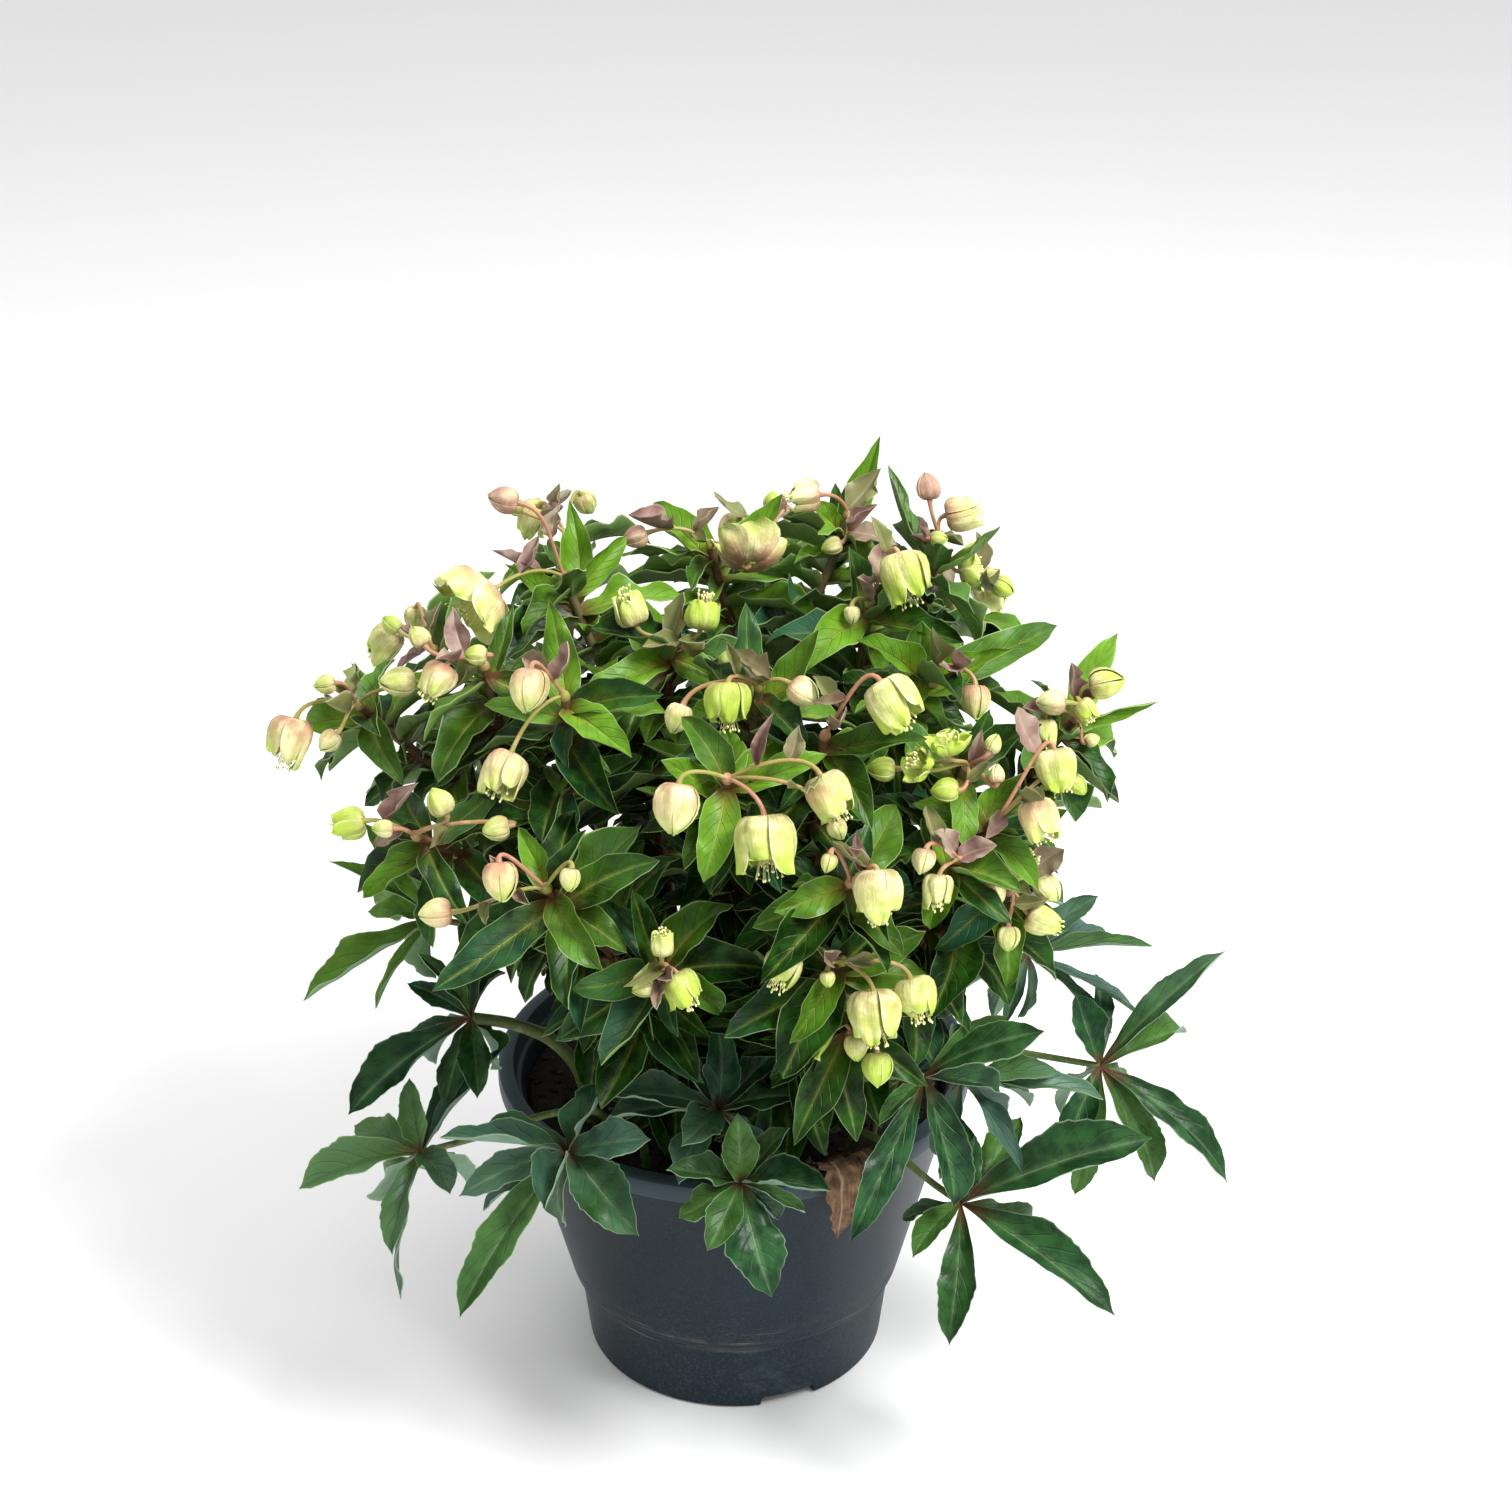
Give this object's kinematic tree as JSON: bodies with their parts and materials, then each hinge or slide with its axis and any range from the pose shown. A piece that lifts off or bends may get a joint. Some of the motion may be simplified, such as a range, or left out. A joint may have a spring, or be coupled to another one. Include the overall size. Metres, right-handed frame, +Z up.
{
  "type": "potted hellebore",
  "caption": "Bushy evergreen perennial with toothed leaf fans and nodding cream-green cups on leafy stems, planted in a round tapered nursery pot that stands on its foot",
  "frame": {"origin": "the middle of the pot's foot, on the surface that it stands on", "axes": "+Z runs up the pot's axis, -Y faces the viewer that the fullest side is turned to, and +X is to that viewer's right"},
  "size_m": [0.4397, 0.3685, 0.4502],
  "materials": {
    "pot": "matte moulded plastic, slate blue-grey",
    "soil": null,
    "leaf": "smooth glossy leaf on firm stems",
    "leaflet": "leathery blue-green leaflet",
    "bloom": "soft satin sepals, cream to yellow-green with a pink flush",
    "withered": "dry crumpled leaf"
  },
  "bodies": {
    "root": {"cyme_a": "bloom", "cyme_b": "bloom", "cyme_back_a": "bloom", "cyme_back_b": "bloom", "cyme_back_c": "bloom", "cyme_back_d": "bloom", "cyme_c": "bloom", "cyme_d": "bloom", "cyme_e": "bloom", "cyme_f": "bloom", "cyme_g": "bloom", "cyme_h": "bloom", "cyme_i": "bloom", "cyme_j": "bloom", "cyme_k": "bloom", "cyme_l": "bloom", "cyme_m": "bloom", "cyme_n": "bloom", "cyme_o": "bloom", "cyme_p": "bloom", "cyme_q": "bloom", "cyme_r": "bloom", "cyme_s": "bloom", "cyme_t": "bloom", "cyme_u": "bloom", "cyme_v": "bloom", "cyme_w": "bloom", "cyme_x": "bloom", "fan_back": "leaflet", "fan_back_left": "leaflet", "fan_back_right": "leaflet", "fan_front": "leaflet", "fan_front_inner": "leaflet", "fan_front_left": "leaflet", "fan_front_right": "leaflet", "fan_left": "leaflet", "fan_left_high": "leaflet", "fan_left_low": "leaflet", "fan_right": "leaflet", "fan_right_far": "leaflet", "fan_right_high": "leaflet", "fan_right_low": "leaflet", "pot": "pot", "soil": "soil", "stem_back": "leaf", "stem_front": "leaf", "stem_front_left": "leaf", "stem_front_right": "leaf", "stem_left": "leaf", "stem_left_back": "leaf", "stem_left_front": "leaf", "stem_left_top": "leaf", "stem_low_front": "leaf", "stem_right": "leaf", "stem_right_back": "leaf", "stem_right_front": "leaf", "stem_right_mid": "leaf", "stem_right_top": "leaf", "stem_top": "leaf", "withered_leaf": "withered"}
  },
  "joints": []
}
